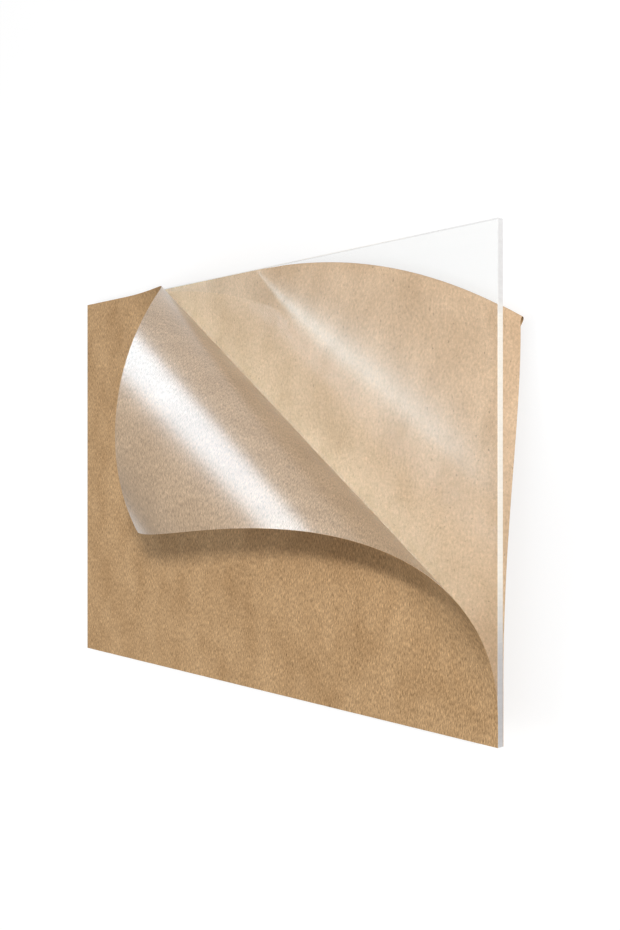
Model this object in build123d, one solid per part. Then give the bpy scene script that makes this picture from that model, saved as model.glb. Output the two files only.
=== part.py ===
# A clear acrylic sheet with its kraft masking paper, peeled back from one corner on both faces.
# The sheet lies on its lower face. The loose corner of the paper above it stands up in a round curl.
# The loose corner of the paper below it is turned under, and its fold holds that end off the floor.
# Millimetres. X runs along the sheet, Y across it and Z up, with the origin under its middle.
from build123d import *
import math
import os

# The sheet
sheet_length = 457.2
sheet_width = 304.8
sheet_thickness = 4.76
edge_arris = 0.3
paper_thickness = 0.2
corner_blunt = 1.0

# The upper paper's curl: its peel line crosses the back edge and the right end
curl_back = 61.7
curl_end = 16.2
curl_radius = 62.0
curl_skew = 53.6
curl_stations = 14

# The lower paper's loose corner: its creases fan out from a point past the back edge, and the
# last of them, the fold, bows towards the corner
fan_past_edge = 12.2
fan_from_end = 234.7
peel_end = 36.6
fold_from_back = 58.5
fold_bow = 12.5
fold_radius = 3.5
end_lift = 24.0
leaf_stations = 9
fold_stations = 10
under_stations = 3

tilt = math.asin(end_lift / sheet_length)
lower_face = -sheet_thickness
loose_corner = Vector(sheet_length, sheet_width, 0)


def strip_section(back_point, end_point, thick, bow=Vector(0, 0, 0)):
    """One line of a loose paper, from its back edge to its right edge, and the thickness over it."""
    middle = (back_point + end_point) * 0.5 + bow * 2
    return Wire(
        [
            Edge.make_bezier(back_point, middle, end_point),
            Edge.make_line(end_point, end_point + thick),
            Edge.make_bezier(end_point + thick, middle + thick, back_point + thick),
            Edge.make_line(back_point + thick, back_point),
        ]
    )


def stuck_paper(back_meeting, end_meeting, face_height, direction):
    """The part of a paper that still holds to the sheet, as far as its peel line."""
    corners = [
        (0, 0),
        (sheet_length, 0),
        (sheet_length, end_meeting),
        (back_meeting, sheet_width),
        (0, sheet_width),
    ]
    outline = Plane.XY.offset(face_height) * make_face(Polyline(*corners, close=True))
    return extrude(outline, amount=paper_thickness, dir=(0, 0, direction))


def make_sheet():
    """The acrylic, with its sawn edges square and their sharp arrises taken off."""
    sheet = Pos(0, 0, lower_face) * Box(
        sheet_length, sheet_width, sheet_thickness, align=(Align.MIN, Align.MIN, Align.MIN)
    )
    return chamfer(sheet.edges(), edge_arris)


def make_upper_paper():
    """The upper paper, whose loose corner rolls up off the peel line at one radius.

    The roll is a thin round tube, of which a lofted block keeps what lies between the paper's edges.
    """
    back_start = Vector(curl_back, sheet_width, 0)
    end_start = Vector(sheet_length, curl_end, 0)
    along = (end_start - back_start).normalized()
    across = Vector(-along.Y, along.X, 0)
    reach = (loose_corner - back_start).dot(across)
    back_run = (loose_corner - back_start).dot(along)
    end_run = (loose_corner - end_start).dot(along)
    peel_length = (end_start - back_start).length
    full_turn = reach / curl_radius
    axis = back_start + Vector(0, 0, curl_radius)
    trim_margin = 1
    last_share = 1 - corner_blunt / (back_run - end_run)
    sections = []
    for station in range(curl_stations + 1):
        share = last_share * station / curl_stations
        turn = full_turn * share
        inward = across * -math.sin(turn) + Vector(0, 0, math.cos(turn))
        outer_line = axis - inward * (curl_radius + trim_margin) - along * (curl_skew * share**2)
        back_point = outer_line + along * (back_run * share)
        end_point = outer_line + along * (peel_length + end_run * share)
        sections.append(strip_section(back_point, end_point, inward * (paper_thickness + 2 * trim_margin)))
    tube_length = 2 * (peel_length + curl_skew)
    tube = Cylinder(curl_radius, tube_length) - Cylinder(curl_radius - paper_thickness, tube_length)
    curl = (Plane(origin=axis, z_dir=along) * tube) & Solid.make_loft(sections)
    return stuck_paper(curl_back, curl_end, 0, 1) + curl


def make_lower_paper():
    """The lower paper: a leaf that comes away from the sheet, then a fold, then the corner turned under."""
    fan_point = Vector(sheet_length - fan_from_end, sheet_width + fan_past_edge, lower_face)
    peel_angle = math.atan2(sheet_width + fan_past_edge - peel_end, fan_from_end)
    fold_angle = math.atan2(fold_from_back + fan_past_edge, fan_from_end)
    corner_angle = math.atan2(fan_past_edge, fan_from_end)
    fold_distance = fan_from_end / math.cos(fold_angle)
    fold_drop = end_lift - 2 * fold_radius
    leaf_slope = fold_drop / fold_distance
    turn_slope = fold_radius / fold_distance
    turn_angle = math.pi * turn_slope
    under_angle = fold_angle - corner_angle - turn_angle

    full_bow = Vector(math.sin(fold_angle), math.cos(fold_angle), 0) * fold_bow

    def direction(plan_angle, slope):
        return Vector(math.cos(plan_angle), -math.sin(plan_angle), -slope).normalized()

    lines = []
    for station in range(leaf_stations):
        share = station / leaf_stations
        flat_angle = peel_angle + (fold_angle - peel_angle) * share
        eased = share * share * (3 - 2 * share)
        lines.append((flat_angle, direction(flat_angle, leaf_slope * eased), full_bow * eased))
    for station in range(fold_stations + 1):
        turn = math.pi * station / fold_stations
        flat_angle = fold_angle - turn_angle * station / fold_stations
        plan_angle = fold_angle - turn_slope * math.sin(turn)
        slope = leaf_slope + turn_slope * (1 - math.cos(turn))
        lines.append((flat_angle, direction(plan_angle, slope), full_bow))
    blunt_share = 1 - corner_blunt / (under_angle * fold_distance)
    for station in range(1, under_stations + 1):
        share = station / under_stations
        flat_angle = fold_angle - turn_angle - under_angle * blunt_share * share
        plan_angle = fold_angle + under_angle * blunt_share * share
        slope = leaf_slope + 2 * turn_slope
        lines.append((flat_angle, direction(plan_angle, slope), full_bow * (1 - share)))

    sections = []
    for number, (flat_angle, line, bow) in enumerate(lines):
        before = lines[max(number - 1, 0)][1]
        after = lines[min(number + 1, len(lines) - 1)][1]
        across = (after - before).cross(line).normalized()
        if number == 0:
            across = Vector(0, 0, -1)
        to_back = fan_past_edge / math.sin(flat_angle)
        to_end = fan_from_end / math.cos(flat_angle)
        back_point = fan_point + line * to_back
        end_point = fan_point + line * to_end
        sections.append(strip_section(back_point, end_point, across * paper_thickness, bow))
    fold_start = leaf_stations
    fold_finish = leaf_stations + fold_stations
    skins = [Face(sections[0]), Face(sections[-1])]
    for first, last in ((0, fold_start), (fold_start, fold_finish), (fold_finish, len(sections) - 1)):
        skins += Shell.make_loft(sections[first : last + 1], ruled=first == fold_start).faces()
    back_meeting = fan_point.X + fan_past_edge / math.tan(peel_angle)
    return stuck_paper(back_meeting, peel_end, lower_face, -1) + Solid(Shell(skins))


pieces = {
    "acrylic_sheet": make_sheet(),
    "top_masking_paper": make_upper_paper(),
    "bottom_masking_paper": make_lower_paper(),
}

# The whole is leaned back on its left edge, and brought to the floor
leaned = {name: Rot(0, -math.degrees(tilt), 0) * piece for name, piece in pieces.items()}
whole = Compound([solid for piece in leaned.values() for solid in piece.solids()]).bounding_box()
to_origin = Pos(-whole.center().X, -whole.center().Y, -whole.min.Z)

os.makedirs("parts", exist_ok=True)
for name, piece in leaned.items():
    export_step(to_origin * piece, f"parts/{name}.step")
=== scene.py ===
# A clear acrylic sheet, 457 by 305 by 4.8 mm, that still has its kraft masking paper on both faces.
# The masking has been peeled back from one corner: the upper paper curls up off the sheet, and the
# loose corner of the lower paper is turned under it, so that corner is clear through both faces.
import math

import bpy
from mathutils import Matrix, Vector


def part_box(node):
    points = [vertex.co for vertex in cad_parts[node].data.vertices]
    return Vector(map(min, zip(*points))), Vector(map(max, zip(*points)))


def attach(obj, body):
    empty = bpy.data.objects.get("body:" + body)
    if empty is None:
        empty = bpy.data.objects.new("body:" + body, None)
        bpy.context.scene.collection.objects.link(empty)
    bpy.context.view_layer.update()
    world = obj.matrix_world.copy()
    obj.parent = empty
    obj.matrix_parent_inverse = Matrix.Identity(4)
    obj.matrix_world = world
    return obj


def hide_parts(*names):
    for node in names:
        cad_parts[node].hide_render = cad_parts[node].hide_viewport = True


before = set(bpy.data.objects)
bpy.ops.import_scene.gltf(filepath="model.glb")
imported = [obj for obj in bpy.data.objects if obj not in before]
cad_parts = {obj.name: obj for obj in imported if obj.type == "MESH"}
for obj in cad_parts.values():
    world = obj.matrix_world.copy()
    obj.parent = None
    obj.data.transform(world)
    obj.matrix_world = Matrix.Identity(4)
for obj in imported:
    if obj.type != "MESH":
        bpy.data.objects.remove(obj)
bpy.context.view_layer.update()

# The acrylic sheet
# One cast sheet, sawn to size, polished on both faces and dull on its sawn edges. It keeps the solid's
# own shape. Its right end lies 24 mm higher, on the lower paper. Light and shade are painted on its
# edges:
# grey painted shade where both papers cover it, a cream painted glow past the peel line, where light
# comes in, and light grey again at the bare corner.
SHEET_LENGTH = 0.4572
SHEET_WIDTH = 0.3048
SHEET_THICKNESS = 0.00476
EDGE_ARRIS = 0.0003
END_LIFT = 0.024
LEAN = math.asin(END_LIFT / SHEET_LENGTH)
sheet_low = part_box("acrylic_sheet")[0]
arris_rise = EDGE_ARRIS * math.sin(LEAN)
SHEET_CORNER = sheet_low + Vector((-arris_rise, 0, SHEET_THICKNESS * math.cos(LEAN) - arris_rise))
LEANED = Matrix.Translation(SHEET_CORNER) @ Matrix.Rotation(-LEAN, 4, "Y")
SQUARE_TO_FACES = (-math.sin(LEAN), 0, math.cos(LEAN))

# The peel line of the upper paper, on the sheet's upper face before it leans
UPPER_PEEL_BACK = 0.0617
UPPER_PEEL_END = 0.0162
back_meeting = Vector((UPPER_PEEL_BACK, SHEET_WIDTH, 0))
end_meeting = Vector((SHEET_LENGTH, UPPER_PEEL_END, 0))
bare_corner = Vector((SHEET_LENGTH, SHEET_WIDTH, 0))
peel_along = (end_meeting - back_meeting).normalized()
peel_across = Vector((-peel_along.y, peel_along.x, 0))
peel_to_corner = (bare_corner - back_meeting).dot(peel_across)

ACRYLIC_IOR = 1.49
POLISHED_TINT = (0.985, 0.99, 0.988, 1)
SAWN_TINT = (0.98, 0.985, 0.985, 1)
SAWN_ROUGHNESS = 0.45
LIGHT_LET_THROUGH = (0.985, 0.99, 0.99, 1)
LIGHT_LET_OUT = (0.9, 0.9, 0.9, 1)
SAW_MARKS_PER_METRE = (700, 700, 60)
SAW_MARK_DEPTH = 0.0002
HAZE_FROM_OUTSIDE = 0.95
HAZE_FROM_WITHIN = 0.1
HAZE_GLOW = 0.25
LEAST_LEVEL_OF_A_FACE = 0.8

# Painted light and shade on the sawn edges: grey painted shade, cream painted glow, then light grey, each
# at where it stands between the peel line, 0, and the bare corner, 1
PAINTED_EDGE_LIGHT = (
    (0.12, (0.60, 0.60, 0.61, 1)),
    (0.29, (0.98, 0.95, 0.87, 1)),
    (0.80, (0.98, 0.95, 0.87, 1)),
    (0.84, (0.80, 0.80, 0.80, 1)),
)


def new_material(name):
    """An empty node material and its output node."""
    material = bpy.data.materials.new(name)
    material.use_nodes = True
    material.node_tree.nodes.clear()
    return material, material.node_tree.nodes.new("ShaderNodeOutputMaterial")


def feed(material, value, socket):
    """Give a socket its value: a number, a colour, another node's socket, or a node's first output."""
    if isinstance(value, bpy.types.Node):
        value = value.outputs[0]
    if isinstance(value, bpy.types.NodeSocket):
        material.node_tree.links.new(value, socket)
    else:
        socket.default_value = value


def add_node(material, kind, *values, **settings):
    """A shader node, its sockets fed in order or by label. A property comes before what it brings."""
    node = material.node_tree.nodes.new("ShaderNode" + kind)
    for key, value in settings.items():
        if hasattr(node, key):
            setattr(node, key, value)
        else:
            feed(material, value, node.inputs[key.replace("_", " ")])
    for value, socket in zip(values, node.inputs):
        feed(material, value, socket)
    return node


def clear_acrylic():
    """Polished faces, and dull sawn edges with the saw's fine marks, with light and shade painted on the
    edges from the peel line on.
    """
    material, output = new_material("clear_acrylic")
    place = add_node(material, "TexCoord")
    polished = add_node(
        material,
        "BsdfPrincipled",
        Base_Color=POLISHED_TINT,
        IOR=ACRYLIC_IOR,
        Roughness=0.0,
        Transmission_Weight=1.0,
    )

    marks_map = add_node(material, "Mapping", place.outputs["Object"], Scale=SAW_MARKS_PER_METRE)
    marks = add_node(material, "TexNoise", marks_map, Scale=1.0, Detail=3.0)
    marks_bump = add_node(material, "Bump", Strength=0.3, Distance=SAW_MARK_DEPTH, Height=marks)
    # The sawn edges' colour is painted light and shade: grey shade by the peel line, a cream glow past
    # it, light grey at the bare corner
    towards_corner = LEANED.to_3x3() @ peel_across
    at_peel = (LEANED @ back_meeting).dot(towards_corner)
    at_corner = at_peel + peel_to_corner
    from_peel = add_node(
        material, "VectorMath", place.outputs["Object"], towards_corner, operation="DOT_PRODUCT"
    )
    share_to_corner = add_node(material, "MapRange", from_peel.outputs["Value"], at_peel, at_corner)
    painted_edge_light = add_node(material, "ValToRGB", share_to_corner)
    ramp = painted_edge_light.color_ramp.elements
    ramp[1].position, ramp[1].color = PAINTED_EDGE_LIGHT[-1]
    ramp[0].position, ramp[0].color = PAINTED_EDGE_LIGHT[0]
    for position, tone in PAINTED_EDGE_LIGHT[1:-1]:
        ramp.new(position).color = tone
    streaks = add_node(material, "MapRange", marks, To_Min=0.9, To_Max=1.1)
    streaked_edge_light = add_node(material, "VectorMath", painted_edge_light, operation="SCALE", Scale=streaks)
    haze_back = add_node(material, "BsdfDiffuse", Color=streaked_edge_light, Normal=marks_bump)
    haze_through = add_node(material, "BsdfTranslucent", Color=streaked_edge_light, Normal=marks_bump)
    haze = add_node(material, "MixShader", HAZE_GLOW, haze_back, haze_through)

    # From outside a sawn edge is hazy. From within, light goes straight out of it.
    from_within = add_node(material, "NewGeometry").outputs["Backfacing"]
    dull = add_node(
        material,
        "BsdfPrincipled",
        Base_Color=SAWN_TINT,
        IOR=ACRYLIC_IOR,
        Roughness=SAWN_ROUGHNESS,
        Transmission_Weight=1.0,
        Normal=marks_bump,
    )
    lets_out = add_node(material, "BsdfTransparent", Color=LIGHT_LET_OUT)
    by_side = add_node(material, "MixShader", from_within, dull, lets_out)
    haze_share = add_node(
        material, "MapRange", from_within, To_Min=HAZE_FROM_OUTSIDE, To_Max=HAZE_FROM_WITHIN
    )
    sawn = add_node(material, "MixShader", haze_share, by_side, haze)

    facing = add_node(
        material, "VectorMath", place.outputs["Normal"], SQUARE_TO_FACES, operation="DOT_PRODUCT"
    )
    level = add_node(material, "Math", facing.outputs["Value"], operation="ABSOLUTE")
    is_edge = add_node(material, "Math", level, LEAST_LEVEL_OF_A_FACE, operation="LESS_THAN")
    surface = add_node(material, "MixShader", is_edge, polished, sawn)

    # The lamps shine straight through the sheet onto the papers and the floor
    path = add_node(material, "LightPath")
    from_lamp = add_node(
        material,
        "Math",
        path.outputs["Is Shadow Ray"],
        path.outputs["Is Diffuse Ray"],
        operation="MAXIMUM",
    )
    lets_through = add_node(material, "BsdfTransparent", Color=LIGHT_LET_THROUGH)
    whole = add_node(material, "MixShader", from_lamp, surface, lets_through)
    feed(material, whole, output.inputs["Surface"])
    return material


acrylic_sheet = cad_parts["acrylic_sheet"]
acrylic_sheet.data.materials.clear()
acrylic_sheet.data.materials.append(clear_acrylic())

# The upper masking paper
# Kraft paper, brown and fibrous outside, with a pale shiny adhesive film inside. It still holds to the
# sheet on the left of its peel line, and past that line it rolls up and over, inside out.
PAPER_THICKNESS = 0.00015
AIR_UNDER_PAPER = 0.00005
CURL_RADIUS = 0.062
CURL_SKEW = 0.0536
GRID_STEP = 0.0025
GRID_ROWS = 60
POINTS_MERGE_WITHIN = 0.00002
SMOOTH_BELOW = math.radians(40)


def flat_paper(name, columns, place):
    """A grid put over the whole sheet by place(across, along), cut along the sheet's edges."""
    bpy.ops.object.select_all(action="DESELECT")
    bpy.ops.mesh.primitive_grid_add(x_subdivisions=columns, y_subdivisions=GRID_ROWS, size=1)
    paper = bpy.context.object
    paper.name = name
    for vertex in paper.data.vertices:
        vertex.co = place(vertex.co.x + 0.5, vertex.co.y + 0.5)
    bpy.ops.object.mode_set(mode="EDIT")
    for corner, outward in (
        ((0, 0, 0), (-1, 0, 0)),
        ((0, 0, 0), (0, -1, 0)),
        (bare_corner, (1, 0, 0)),
        (bare_corner, (0, 1, 0)),
    ):
        bpy.ops.mesh.select_all(action="SELECT")
        bpy.ops.mesh.bisect(plane_co=corner, plane_no=outward, clear_outer=True)
    bpy.ops.mesh.select_all(action="SELECT")
    bpy.ops.mesh.remove_doubles(threshold=POINTS_MERGE_WITHIN)
    bpy.ops.mesh.flip_normals()
    bpy.ops.object.mode_set(mode="OBJECT")
    flat_map = paper.data.uv_layers.new(name="flat")
    for loop in paper.data.loops:
        flat_map.data[loop.index].uv = paper.data.vertices[loop.vertex_index].co.xy
    return paper


def finish_paper(paper, node, lower_side, upper_side, grows):
    """Thicken the paper, upwards for 1 and downwards for -1, give it two sides, and lean it."""
    paper.data.materials.append(upper_side)
    paper.data.materials.append(lower_side)
    solid = paper.modifiers.new("thickness", "SOLIDIFY")
    solid.thickness = PAPER_THICKNESS
    solid.offset = grows
    solid.material_offset = 1
    solid.material_offset_rim = max(-grows, 0)
    bpy.ops.object.select_all(action="DESELECT")
    paper.select_set(True)
    bpy.context.view_layer.objects.active = paper
    bpy.ops.object.modifier_apply(modifier=solid.name)
    paper.data.transform(LEANED)
    bpy.ops.object.shade_smooth_by_angle(angle=SMOOTH_BELOW)
    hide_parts(node)
    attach(paper, "root")


# Kraft paper's marks, each as its width and length in metres
PULP_CLOUDS = (0.03, 0.045)
PULP_CLUMPS = (0.005, 0.009)
SPECKS = (0.0016, 0.0028)

# A noise seldom leaves its usual range. Where it goes far above it, there is a dark speck.
USUAL_NOISE = (0.3, 0.7)
SPECK_STARTS = 0.76
SPECK_FULL = 0.82
SPECK_SHADE = 0.7
SLANT_OF_FIBRES = 0.45
FIBRE_RELIEF = 0.0001
PAPER_SPECULAR = 0.1
FILM_IOR = 1.5


def flat_noise(material, width, length, turn=0.0, detail=2.0):
    """A noise on the paper's own flat map, whose marks have a width and length in metres."""
    flat_map = add_node(material, "UVMap", uv_map="flat")
    turned = add_node(material, "VectorRotate", flat_map, rotation_type="Z_AXIS", Angle=turn)
    marks_map = add_node(material, "Mapping", turned, Scale=(1 / width, 1 / length, 1))
    return add_node(
        material, "TexNoise", marks_map, Scale=1.0, Detail=detail, Roughness=0.55, Distortion=0.3
    )


def spread(material, noise, depth):
    """A noise whose usual range is spread evenly to either side of 1, by the depth."""
    return add_node(material, "MapRange", noise, *USUAL_NOISE, 1 - depth, 1 + depth, clamp=False)


def times(material, first, second):
    return add_node(material, "Math", first, second, operation="MULTIPLY")


def paper_face(
    name,
    dark,
    light,
    fibre,
    fibre_depth,
    roughness,
    grain_turn=0.0,
    coat=0.0,
    coat_roughness=0.3,
    gloss_map=None,
):
    """One face of kraft paper: cloudy pulp, short fibres along the grain, a few specks, and its film."""
    material, output = new_material(name)
    clouds = flat_noise(material, *PULP_CLOUDS, detail=6.0)
    tone = add_node(material, "ValToRGB", clouds)
    for end, position, colour in zip(tone.color_ramp.elements, USUAL_NOISE, (dark, light)):
        end.position = position
        end.color = (*colour, 1)

    width, length = fibre
    long_fibres = flat_noise(material, width, length, grain_turn)
    slanted_fibres = flat_noise(material, width * 0.9, length * 0.7, grain_turn + SLANT_OF_FIBRES)
    clumps = flat_noise(material, *PULP_CLUMPS, detail=3.0)
    specks = flat_noise(material, *SPECKS, grain_turn, detail=0.0)
    shade = times(
        material,
        spread(material, long_fibres, fibre_depth),
        spread(material, slanted_fibres, 0.6 * fibre_depth),
    )
    shade = times(material, shade, spread(material, clumps, 0.05))
    dark_speck = add_node(material, "MapRange", specks, SPECK_STARTS, SPECK_FULL, 1.0, SPECK_SHADE)
    shade = times(material, shade, dark_speck)
    colour = add_node(material, "VectorMath", tone, operation="SCALE", Scale=shade)

    relief = add_node(material, "Bump", Strength=0.25, Distance=FIBRE_RELIEF, Height=long_fibres)
    if gloss_map:
        coat = add_node(material, "Attribute", attribute_name=gloss_map).outputs["Fac"]
    paper = add_node(
        material,
        "BsdfPrincipled",
        Base_Color=colour,
        Roughness=roughness,
        Specular_IOR_Level=PAPER_SPECULAR,
        Coat_Weight=coat,
        Coat_Roughness=coat_roughness,
        Coat_IOR=FILM_IOR,
        Normal=relief,
    )
    feed(material, paper, output.inputs["Surface"])
    return material


kraft_outside = paper_face(
    "kraft_outside",
    dark=(0.405, 0.25, 0.122),
    light=(0.529, 0.345, 0.183),
    fibre=(0.0007, 0.0031),
    fibre_depth=0.36,
    roughness=0.85,
)
upper_film = paper_face(
    "upper_film",
    dark=(0.407, 0.288, 0.184),
    light=(0.482, 0.35, 0.231),
    fibre=(0.0005, 0.0034),
    fibre_depth=0.33,
    roughness=0.6,
    grain_turn=math.radians(87),
    coat=1.0,
    coat_roughness=0.28,
)

paper_behind = back_meeting.dot(peel_across)
paper_before = (Vector((0, SHEET_WIDTH, 0)) - back_meeting).dot(peel_along)
paper_beyond = (Vector((SHEET_LENGTH, 0, 0)) - back_meeting).dot(peel_along)


def over_the_sheet(across, along):
    """A grid that runs square to the peel line and covers the whole sheet."""
    reach = peel_to_corner - (1 - across) * (peel_to_corner + paper_behind)
    run = paper_before + along * (paper_beyond - paper_before)
    return back_meeting + peel_across * reach + peel_along * run


across_steps = round((peel_to_corner + paper_behind) / GRID_STEP)
upper_paper = flat_paper("top_masking_paper_curled", across_steps, over_the_sheet)
for vertex in upper_paper.data.vertices:
    from_line = vertex.co - back_meeting
    reach = from_line.dot(peel_across)
    vertex.co.z = AIR_UNDER_PAPER
    if reach > 0:
        run = from_line.dot(peel_along) - CURL_SKEW * (reach / peel_to_corner) ** 2
        turn = reach / CURL_RADIUS
        vertex.co = back_meeting + peel_along * run + peel_across * (CURL_RADIUS * math.sin(turn))
        vertex.co.z = AIR_UNDER_PAPER + CURL_RADIUS * (1 - math.cos(turn))
finish_paper(upper_paper, "top_masking_paper", upper_film, kraft_outside, 1)

# The lower masking paper
# The same kraft paper on the sheet's lower face. It comes away along creases that fan out from a point
# past the back edge, sinks to the floor, and its corner is turned under in a springy fold. Its film
# loses its gloss towards the fold, where it is creased.
FAN_PAST_EDGE = 0.0122
FAN_FROM_END = 0.2347
LOWER_PEEL_END = 0.0366
FOLD_FROM_BACK = 0.0585
FOLD_BOW = 0.0125
FOLD_RADIUS = 0.0035
fan_point = Vector((SHEET_LENGTH - FAN_FROM_END, SHEET_WIDTH + FAN_PAST_EDGE, 0))
peel_angle = math.atan2(SHEET_WIDTH + FAN_PAST_EDGE - LOWER_PEEL_END, FAN_FROM_END)
fold_angle = math.atan2(FOLD_FROM_BACK + FAN_PAST_EDGE, FAN_FROM_END)
corner_angle = math.atan2(FAN_PAST_EDGE, FAN_FROM_END)
fold_distance = FAN_FROM_END / math.cos(fold_angle)
leaf_slope = (END_LIFT - 2 * FOLD_RADIUS) / fold_distance
turn_slope = FOLD_RADIUS / fold_distance
turn_angle = math.pi * turn_slope
under_start = fold_angle - turn_angle
bow_direction = Vector((math.sin(fold_angle), math.cos(fold_angle), 0))

lower_film = paper_face(
    "lower_film",
    dark=(0.588, 0.4, 0.243),
    light=(0.725, 0.513, 0.332),
    fibre=(0.0016, 0.0024),
    fibre_depth=0.12,
    roughness=0.6,
    coat_roughness=0.2,
    gloss_map="gloss",
)

# The rays of the paper's grid: over the stuck part, the leaf, the fold and the part turned under
fan_angles = []
for first_angle, last_angle, steps in (
    (math.pi, peel_angle, 24),
    (peel_angle, fold_angle, 24),
    (fold_angle, under_start, 20),
    (under_start, 0, 8),
):
    fan_angles += [first_angle + (last_angle - first_angle) * step / steps for step in range(steps)]
fan_angles.append(0)
FAN_INNER = 0.004
FAN_OUTER = 0.45


def fanned(across, along):
    """A grid of rays from the fan point, close together where the paper bends."""
    angle = fan_angles[round(across * (len(fan_angles) - 1))]
    distance = FAN_INNER + along * (FAN_OUTER - FAN_INNER)
    return fan_point + Vector((math.cos(angle), -math.sin(angle), 0)) * distance


def ray_of_paper(angle):
    """The direction that a ray of the flat paper takes once the corner is loose, and its bow."""
    if angle >= peel_angle:
        return Vector((math.cos(angle), -math.sin(angle), 0)), 0
    if angle >= fold_angle:
        share = (peel_angle - angle) / (peel_angle - fold_angle)
        bow = share * share * (3 - 2 * share)
        turned = angle
        slope = leaf_slope * bow
    elif angle >= under_start:
        turn = math.pi * (fold_angle - angle) / turn_angle
        bow = 1
        turned = fold_angle - turn_slope * math.sin(turn)
        slope = leaf_slope + turn_slope * (1 - math.cos(turn))
    else:
        bow = max((angle - corner_angle) / (under_start - corner_angle), 0)
        turned = fold_angle + under_start - angle
        slope = leaf_slope + 2 * turn_slope
    return Vector((math.cos(turned), -math.sin(turned), -slope)).normalized(), bow


lower_paper = flat_paper("bottom_masking_paper_turned", len(fan_angles) - 1, fanned)
gloss = lower_paper.data.attributes.new("gloss", "FLOAT", "POINT")
for vertex in lower_paper.data.vertices:
    from_point = vertex.co - fan_point
    angle = math.atan2(-from_point.y, from_point.x)
    ray, bow = ray_of_paper(angle)
    gloss.data[vertex.index].value = 1 - bow**2
    vertex.co = fan_point + ray * from_point.length
    if bow > 0:
        to_back = FAN_PAST_EDGE / math.sin(angle)
        to_end = FAN_FROM_END / math.cos(angle)
        along_ray = (from_point.length - to_back) / (to_end - to_back)
        vertex.co += bow_direction * (FOLD_BOW * bow * 4 * along_ray * (1 - along_ray))
    vertex.co.z -= SHEET_THICKNESS + AIR_UNDER_PAPER
finish_paper(lower_paper, "bottom_masking_paper", kraft_outside, lower_film, -1)

# The floor
# A plain white floor that keeps the object's shadow, and shows as white where nothing stands on it.
# Far from the object the lamps are weak, so it shows whiter there of itself and meets the white room.
FLOOR_SIZE = 12
FLOOR_GREY = (0.5, 0.5, 0.5, 1)
WHITE_ADDED_NEAR = 0.53
WHITE_ADDED_FAR = 1.0
NEAR = 0.8
FAR = 2.5
bpy.ops.object.select_all(action="DESELECT")
bpy.ops.mesh.primitive_plane_add(size=FLOOR_SIZE)
floor = bpy.context.object
floor.name = "floor"
white_floor, floor_output = new_material("white_floor")
matt_white = add_node(white_floor, "BsdfPrincipled", Base_Color=FLOOR_GREY, Roughness=0.9)
floor_place = add_node(white_floor, "TexCoord")
from_middle = add_node(white_floor, "VectorMath", floor_place.outputs["Object"], operation="LENGTH")
white_by_place = add_node(
    white_floor, "MapRange", from_middle.outputs["Value"], NEAR, FAR, WHITE_ADDED_NEAR, WHITE_ADDED_FAR
)
seen = add_node(white_floor, "LightPath")
seen_or_mirrored = add_node(
    white_floor, "Math", seen.outputs["Is Camera Ray"], seen.outputs["Is Glossy Ray"], operation="MAXIMUM"
)
seen_at_all = add_node(
    white_floor, "Math", seen_or_mirrored, seen.outputs["Is Transmission Ray"], operation="MAXIMUM"
)
added_white = add_node(white_floor, "Emission", Strength=times(white_floor, seen_at_all, white_by_place))
feed(
    white_floor,
    add_node(white_floor, "AddShader", matt_white, added_white),
    floor_output.inputs["Surface"],
)
floor.data.materials.append(white_floor)

# The light
# Even white all round, a soft lamp beside the camera that draws the short shadow under the curl, a
# weak one from the left, two long soft reflections, one along the curl and one on the paper below,
# and a faint light on the paper below where the curl would shade it.
ROOM_LIGHT = 0.35
ROOM_SEEN = 1.0
world = bpy.data.worlds.new("white_room")
bpy.context.scene.world = world
world.use_nodes = True
room_seen = add_node(world, "LightPath")
room_strength = add_node(
    world, "MapRange", room_seen.outputs["Is Camera Ray"], To_Min=ROOM_LIGHT, To_Max=ROOM_SEEN
)
room = world.node_tree.nodes["Background"]
feed(world, (1, 1, 1, 1), room.inputs["Color"])
feed(world, room_strength, room.inputs["Strength"])


def soft_lamp(name, place, aim, size, power):
    """A rectangular lamp at a place, turned to an aim, both from the sheet's front left corner."""
    lamp = bpy.data.lights.new(name, "AREA")
    lamp.shape = "RECTANGLE"
    lamp.size, lamp.size_y = size
    lamp.energy = power
    stand = bpy.data.objects.new(name, lamp)
    bpy.context.collection.objects.link(stand)
    towards = (Vector(aim) - Vector(place)).to_track_quat("-Z", "Y")
    stand.matrix_world = LEANED @ Matrix.Translation(place) @ towards.to_matrix().to_4x4()
    stand.visible_glossy = False
    stand.visible_transmission = False
    return stand


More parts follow.
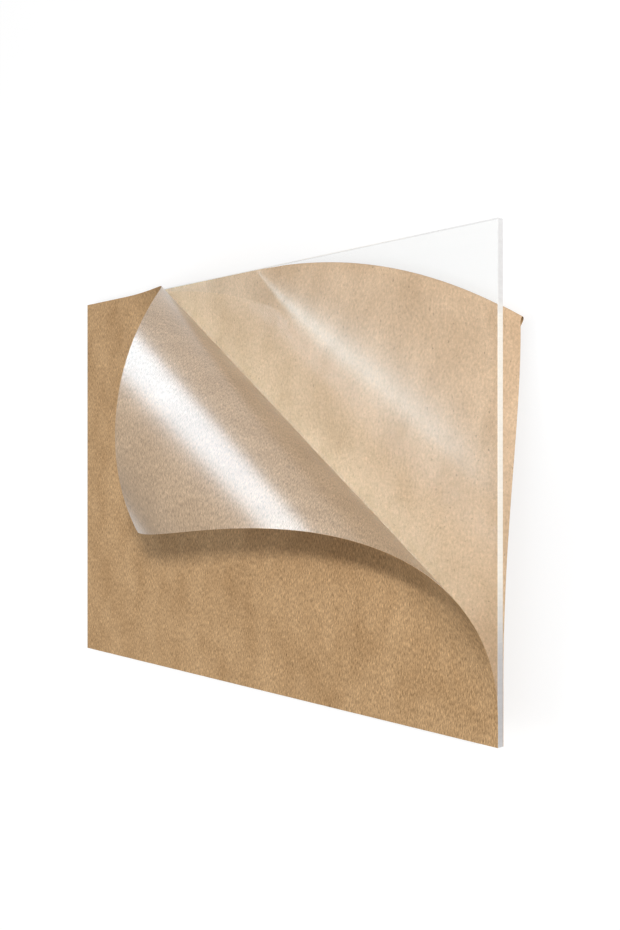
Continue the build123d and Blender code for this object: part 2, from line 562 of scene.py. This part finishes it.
def sheen_lamp(name, paper, tint, **placing):
    """A lamp that only one paper's film reflects, and that lights nothing else."""
    stand = soft_lamp(name, **placing)
    stand.data.color = tint
    stand.visible_diffuse = False
    stand.visible_glossy = True
    lit = bpy.data.collections.new(name)
    lit.objects.link(paper)
    stand.light_linking.receiver_collection = lit
    stand.data.cycles.use_multiple_importance_sampling = False
    return stand


soft_lamp("lamp_by_camera", place=(3.37, 0.73, 2.26), aim=(0.23, 0.15, 0), size=(0.22, 0.22), power=131)
soft_lamp("lamp_left", place=(-0.8, -0.3, 1.1), aim=(0.2, 0.15, 0), size=(1.0, 1.0), power=6.5)
sheen_lamp(
    "sheen_along_curl",
    upper_paper,
    tint=(0.8, 0.99, 1.17),
    place=(0.0, 1.4, 0.58),
    aim=(0.3, 0.18, 0.1),
    size=(1.6, 0.7),
    power=43,
)
sheen_lamp(
    "sheen_below",
    lower_paper,
    tint=(0.75, 1.0, 1.15),
    place=(-0.298, 0.497, 0.958),
    aim=(0.345, 0.22, 0),
    size=(0.05, 0.52),
    power=1.85,
)
fill = sheen_lamp(
    "fill_under_curl",
    lower_paper,
    tint=(0.68, 1.0, 1.3),
    place=(0.251, 0.192, 0.045),
    aim=(0.260, 0.204, -0.005),
    size=(0.42, 0.02),
    power=0.1,
)
fill.visible_diffuse = True
fill.visible_glossy = False
fill.light_linking.blocker_collection = fill.light_linking.receiver_collection

# The camera
# It looks down on the sheet from beyond its right end, with the sheet's back edge up in the picture,
# as the photo sees the sheet.
VIEW_TURN = math.radians(48.03)
CAMERA_PLACE = Vector((0.8451, 0.1626, 0.4941))
FOCAL_PIXELS = 1077.7
PICTURE_HEIGHT = 930
SENSOR = 36.0
lens = bpy.data.cameras.new("photo_camera")
lens.sensor_width = SENSOR
lens.lens = FOCAL_PIXELS * SENSOR / PICTURE_HEIGHT
camera = bpy.data.objects.new("photo_camera", lens)
bpy.context.collection.objects.link(camera)
facing = Matrix.Rotation(VIEW_TURN, 4, "Y")
camera.matrix_world = LEANED @ Matrix.Translation(CAMERA_PLACE) @ facing
bpy.context.scene.camera = camera
bpy.context.scene.view_settings.view_transform = "Standard"
